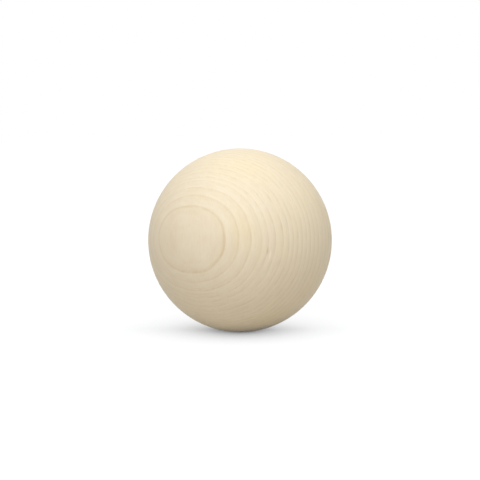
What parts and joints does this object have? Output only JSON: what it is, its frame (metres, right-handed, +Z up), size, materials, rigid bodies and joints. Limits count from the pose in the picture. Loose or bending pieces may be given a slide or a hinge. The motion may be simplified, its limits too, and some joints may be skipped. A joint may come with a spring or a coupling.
{
  "type": "wooden ball",
  "caption": "Plain solid ball turned from one piece of pale hardwood, sanded smooth, for use as a bench or desk part, knob blank or weight.",
  "frame": {"origin": "the ball's centre", "axes": "+Z up along the turning axis, with the grain close to it, +X to the right in the picture, -Y towards the camera"},
  "size_m": [0.05, 0.05, 0.05],
  "materials": {
    "bare_wood": "fine sanded, unfinished"
  },
  "bodies": {
    "root": {"ball": "bare_wood"}
  },
  "joints": []
}
